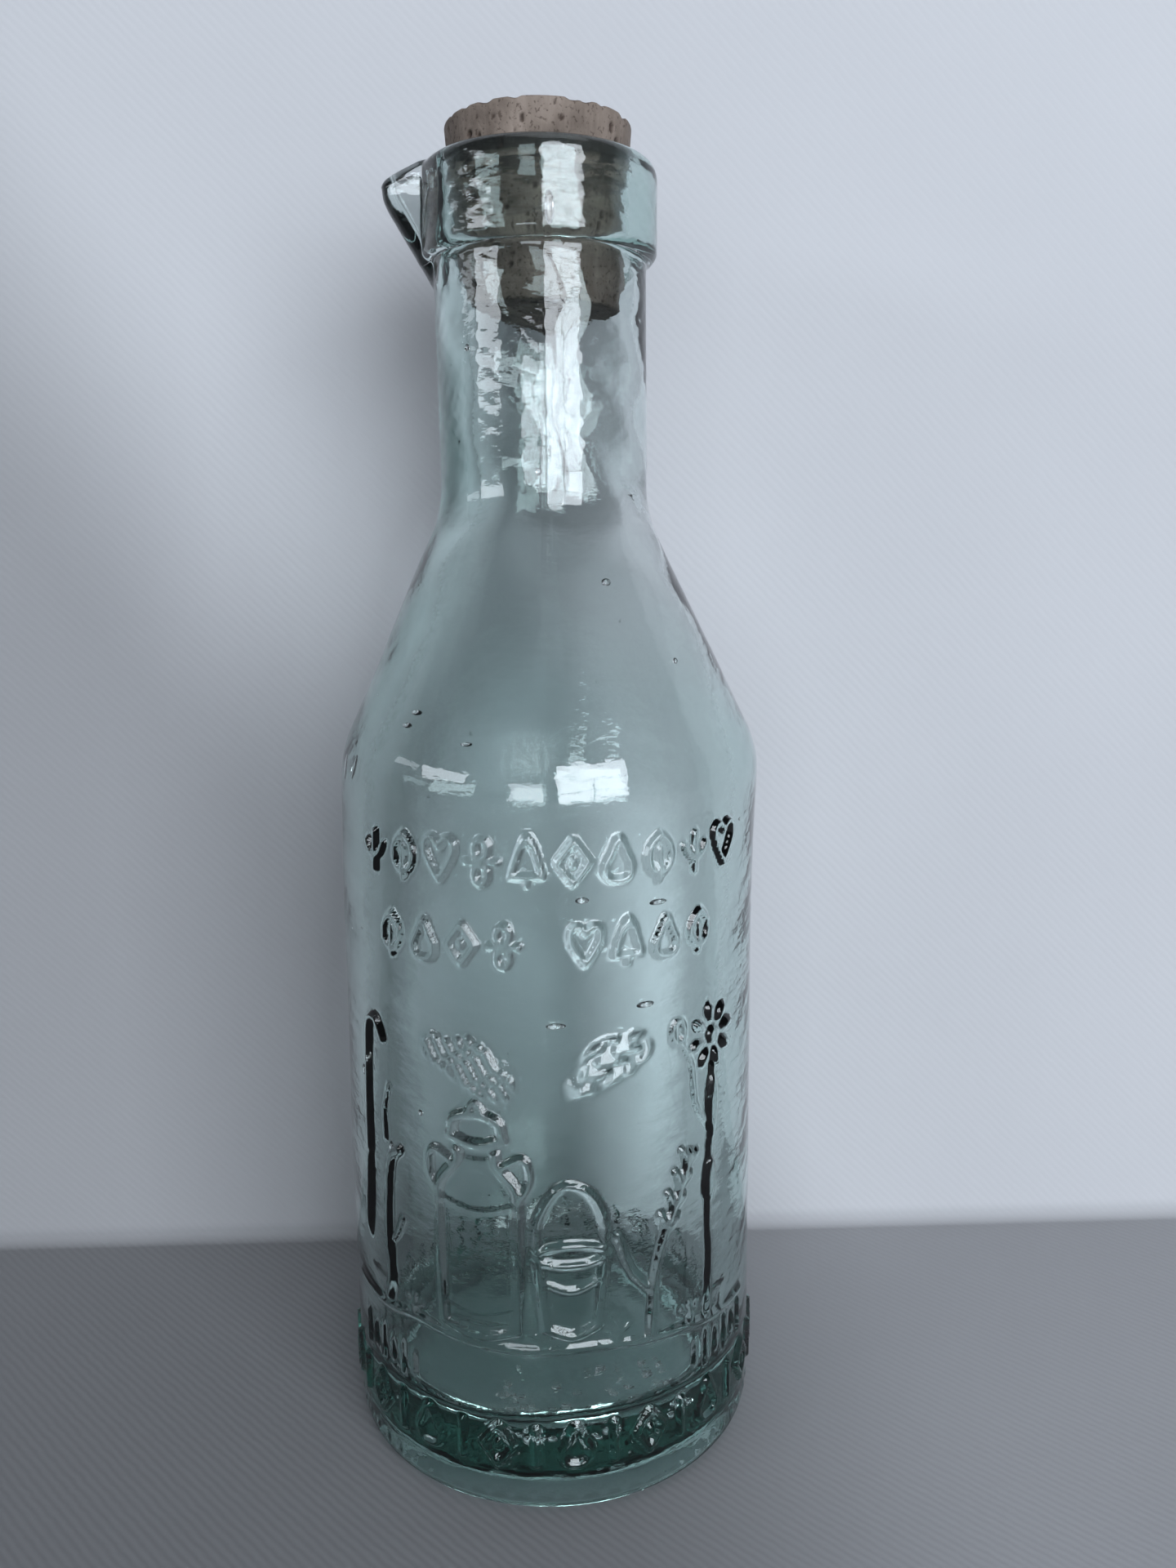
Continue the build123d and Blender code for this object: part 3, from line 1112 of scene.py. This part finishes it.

# Painted light and shade on the backdrop, as (centre, radii, gain): the first two paint light just
# behind and under the bottle, as if it came through the glass, and the rest paint shade behind the
# neck and light behind the left wall, to level out what is seen through them.
PAINTED_LIGHT_PATCHES = [
    ((-0.003, WALL_Y, 0.06), (0.059, 0.12, 0.13), 2.1),
    ((0, 0, 0), (0.045, 0.045, 0.01), 4.2),
]
PAINTED_SHADE_AND_LIGHT_PATCHES = [
    ((0, WALL_Y, 0.235), (0.026, 0.03, 0.05), 0.6),
    ((-0.022, WALL_Y, 0.055), (0.036, 0.03, 0.062), 1.32),
    ((-0.02, WALL_Y, 0.17), (0.025, 0.03, 0.045), 1.18),
]


def painted_light_and_shade_behind(tree, place):
    """The painted light and shade on the backdrop just behind and under the bottle, as a factor on
    its colour.
    """
    total = combine(tree, "MAXIMUM", *[soft_patch(tree, place, *patch) for patch in PAINTED_LIGHT_PATCHES])
    for patch in PAINTED_SHADE_AND_LIGHT_PATCHES:
        total = combine(tree, "MULTIPLY", total, soft_patch(tree, place, *patch))
    return total


def open_behind(tree, shader):
    """Leaves the back of the wall unseen, so that the bottle can be looked at from behind it."""
    back = tree.nodes.new("ShaderNodeNewGeometry").outputs["Backfacing"]
    eye = tree.nodes.new("ShaderNodeLightPath").outputs["Is Camera Ray"]
    clear = tree.nodes.new("ShaderNodeBsdfTransparent").outputs[0]
    unseen = combine(tree, "MULTIPLY", back, eye)
    mix = add_node(tree, "MixShader", {0: unseen, 1: shader.outputs["BSDF"], 2: clear})
    tree.links.new(mix.outputs["Shader"], tree.nodes["Material Output"].inputs["Surface"])


def backdrop_material():
    """A pale matt cloth with a faint twill, with painted shade on the floor and towards the lower
    left, and painted light and shade just behind and under the bottle.
    """
    material, tree, shader, place = new_material("pale_cloth_with_painted_light")
    twill = {"Vector": place, "Scale": 240.0, "Distortion": 1.5}
    twill = add_node(tree, "TexWave", twill, bands_direction="DIAGONAL")
    bump(tree, shader, twill.outputs["Fac"], 0.2, 0.0002)
    stops = [(0.3, (0.425, 0.425, 0.445, 1)), (0.7, (0.455, 0.455, 0.475, 1))]
    tint = colour_ramp(tree, noise(tree, place, 6, 3), stops)
    # Painted shade: the floor is made darker than the wall.
    floor = ramp_along(tree, place, (0, 0, 1), (0, 0.006), (0.72, 1.0))
    # Painted shade: the backdrop's colour is darkened towards the lower left.
    painted_shade_lower_left = ramp_along(tree, place, (1, 0, 0.7), (0.0, 0.1), (0.56, 1.0))
    for level in (floor, painted_shade_lower_left, painted_light_and_shade_behind(tree, place)):
        tint = mix_colour(tree, 1.0, tint, level, "MULTIPLY")
    tree.links.new(tint, shader.inputs["Base Color"])
    shader.inputs["Roughness"].default_value = 0.85
    open_behind(tree, shader)
    return material


def make_backdrop():
    """A pale floor that curves up into a pale wall close behind the bottle."""
    rows = [(-2.5, 0.0), (-0.4, 0.0), (-0.1, 0.0)]
    for turn in np.linspace(0, math.pi / 2, 9):
        rows.append((WALL_Y - SWEEP_R + SWEEP_R * math.sin(turn), SWEEP_R * (1 - math.cos(turn))))
    rows += [(WALL_Y, 0.1), (WALL_Y, 0.5), (WALL_Y, REACH)]
    columns = np.linspace(-REACH, REACH, 9)
    points = [(x, y, z) for y, z in rows for x in columns]
    faces = []
    for i in range(len(rows) - 1):
        for j in range(len(columns) - 1):
            a = i * len(columns) + j
            faces.append((a, a + 1, a + 1 + len(columns), a + len(columns)))
    mesh = bpy.data.meshes.new("backdrop")
    mesh.from_pydata(points, [], faces)
    mesh.shade_smooth()
    mesh.materials.append(backdrop_material())
    backdrop = new_object("backdrop", mesh)


def direction(azimuth, elevation):
    """The unit vector towards an azimuth and an elevation in degrees."""
    turn, rise = math.radians(azimuth), math.radians(elevation)
    level = math.cos(rise)
    return Vector((math.sin(turn) * level, -math.cos(turn) * level, math.sin(rise)))


def make_softbox(name, azimuth, elevation, wide, tall, brightness, colour):
    """A rectangular light that faces the bottle, placed and sized in degrees as seen from it.

    Its azimuth is towards the camera's right and its brightness is its radiance.
    """
    toward = direction(azimuth, elevation)
    light = bpy.data.lights.new(name, "AREA")
    light.shape = "RECTANGLE"
    light.size = 2 * SOFTBOX_AWAY * math.tan(math.radians(wide / 2))
    light.size_y = 2 * SOFTBOX_AWAY * math.tan(math.radians(tall / 2))
    light.energy = brightness * math.pi * light.size * light.size_y
    light.color = colour
    box = new_object(name, light)
    box.location = LIT_POINT + toward * SOFTBOX_AWAY
    box.rotation_euler = (-toward).to_track_quat("-Z", "Y").to_euler()
    box.visible_camera = False


COOL = (0.86, 0.93, 1.0)
PALE = (0.92, 0.95, 1.0)
# Each softbox's name, azimuth, elevation, width, height, brightness and colour
SOFTBOXES = [
    ("window_peak", 16.0, 29.5, 9, 4.6, 8.0, COOL),
    ("window_centre", -12.6, 1.5, 18, 18, 6.0, COOL),
    ("window_left", -59, 13.0, 27, 9, 7.5, COOL),
    ("window_far_left", -92, 14.5, 32, 3.6, 3.0, COOL),
    ("ceiling", 30, 74, 40, 40, 1.0, PALE),
]


def make_lights():
    """Window-like softboxes in front of the bottle, in a dim room."""
    for column, azimuth in enumerate((12.6, 32.0)):
        for row, elevation in enumerate((-3.4, 9.0, 21.2)):
            name = f"window_right_{column}_{row}"
            make_softbox(name, azimuth, elevation, 18.4, 11.6, 10.5, COOL)
    for softbox in SOFTBOXES:
        make_softbox(*softbox)
    world = bpy.data.worlds.new("room")
    world.use_nodes = True
    background = world.node_tree.nodes["Background"]
    background.inputs["Color"].default_value = (0.075, 0.083, 0.095, 1)
    bpy.context.scene.world = world


def make_camera():
    """The camera, a little above the bottle's middle and looking slightly down."""
    data = bpy.data.cameras.new("camera")
    data.lens = LENS
    data.sensor_width = 36.0
    data.clip_start = 0.01
    camera = new_object("camera", data)
    camera.location = (0, -CAMERA_BACK, CAMERA_UP)
    forward = direction(180 - CAMERA_RIGHT, -CAMERA_DOWN)
    turned = forward.to_track_quat("-Z", "Y")
    turned.rotate(Quaternion(forward, math.radians(-CAMERA_ROLL)))
    camera.rotation_mode = "QUATERNION"
    camera.rotation_quaternion = turned
    bpy.context.scene.camera = camera


make_camera()
make_glass()
make_cork()
make_backdrop()
make_lights()
bpy.context.scene.view_settings.view_transform = "Standard"
